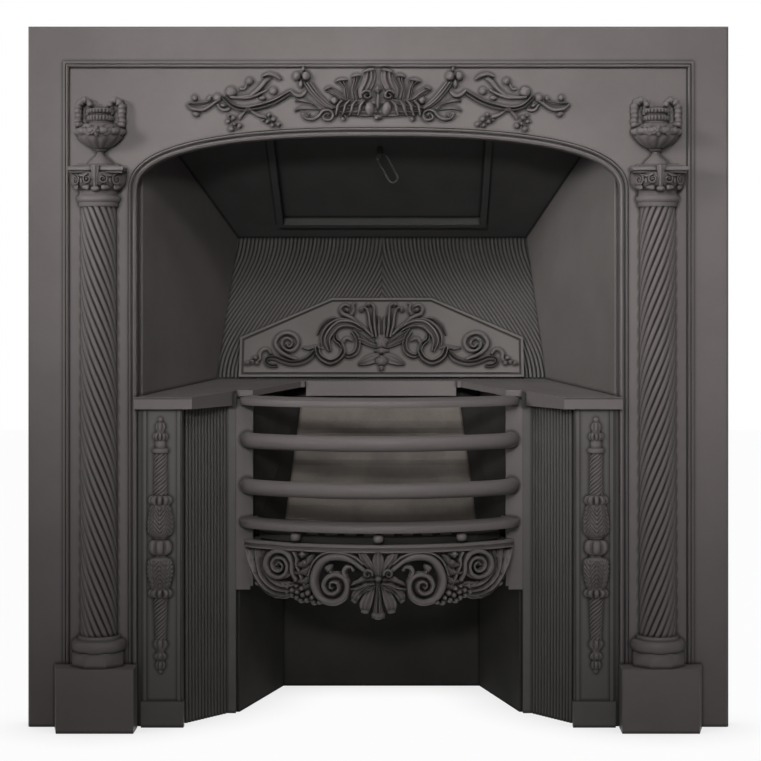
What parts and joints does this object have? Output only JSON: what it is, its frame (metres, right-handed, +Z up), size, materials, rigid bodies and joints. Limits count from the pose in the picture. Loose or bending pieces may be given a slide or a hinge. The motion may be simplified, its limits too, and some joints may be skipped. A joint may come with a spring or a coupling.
{
  "type": "cast iron fireplace insert",
  "caption": "Cast iron hob grate insert: arched front with twisted columns, bowed bars, pierced fret, reeded splayed sides and a canopy with a damper.",
  "frame": {"origin": "centre of the footprint's bounding box, on the hearth", "axes": "+X to the right seen from the room, +Y towards the chimney, +Z up"},
  "size_m": [0.965, 0.426, 0.965],
  "materials": {
    "face_iron": "blackleaded, satin",
    "shaded_iron": "blackleaded, dull",
    "sooted_iron": "matt, sooted",
    "fire_brick": "matt, smoked refractory"
  },
  "bodies": {
    "casing": {"back_brick": "fire_brick", "back_panel": "shaded_iron", "back_plaque": "face_iron", "baluster_left": "face_iron", "baluster_right": "face_iron", "bottom_bar": "face_iron", "canopy": "shaded_iron", "canopy_nut_left": "shaded_iron", "canopy_nut_right": "shaded_iron", "cheek_nut_1_left": "shaded_iron", "cheek_nut_1_right": "shaded_iron", "cheek_nut_2_left": "shaded_iron", "cheek_nut_2_right": "shaded_iron", "column_left": "face_iron", "column_right": "face_iron", "damper_hinge_rod": "shaded_iron", "fluted_cheek_left": "face_iron", "fluted_cheek_right": "face_iron", "fret": "face_iron", "fret_ball_centre": "face_iron", "fret_ball_left": "face_iron", "fret_ball_right": "face_iron", "front_frame": "face_iron", "hob_ledge": "face_iron", "hob_pilaster_left": "face_iron", "hob_pilaster_right": "face_iron", "hob_top_left": "face_iron", "hob_top_right": "face_iron", "lower_round_bar": "face_iron", "pit_back": "sooted_iron", "pit_side_left": "sooted_iron", "pit_side_right": "sooted_iron", "plinth_block_left": "face_iron", "plinth_block_right": "face_iron", "side_brick_left": "fire_brick", "side_brick_right": "fire_brick", "stile_left": "face_iron", "stile_right": "face_iron", "top_bar": "face_iron", "upper_cheek_left": "face_iron", "upper_cheek_right": "face_iron", "upper_round_bar": "face_iron", "urn_left": "face_iron", "urn_right": "face_iron"},
    "damper": {"damper_flap": "shaded_iron", "damper_staple": "face_iron"},
    "pull": {"damper_ring": "face_iron"},
    "fire_grate": {"bottom_grate": "sooted_iron"}
  },
  "joints": [
    {"name": "damper_hinge", "type": "hinge", "parent": "casing", "child": "damper", "pos_m": [0, 0.17114, 0.71888], "axis": [-1, 0, 0], "range_deg": [0, 75]},
    {"name": "ring_swing", "type": "hinge", "parent": "damper", "child": "pull", "pos_m": [0, -0.03177, 0.79812], "axis": [1, 0, 0], "range_deg": [-95, 50]},
    {"name": "grate_lift", "type": "slide", "parent": "casing", "child": "fire_grate", "axis": [0, 0, 1], "range_m": [0, 0.02]}
  ]
}
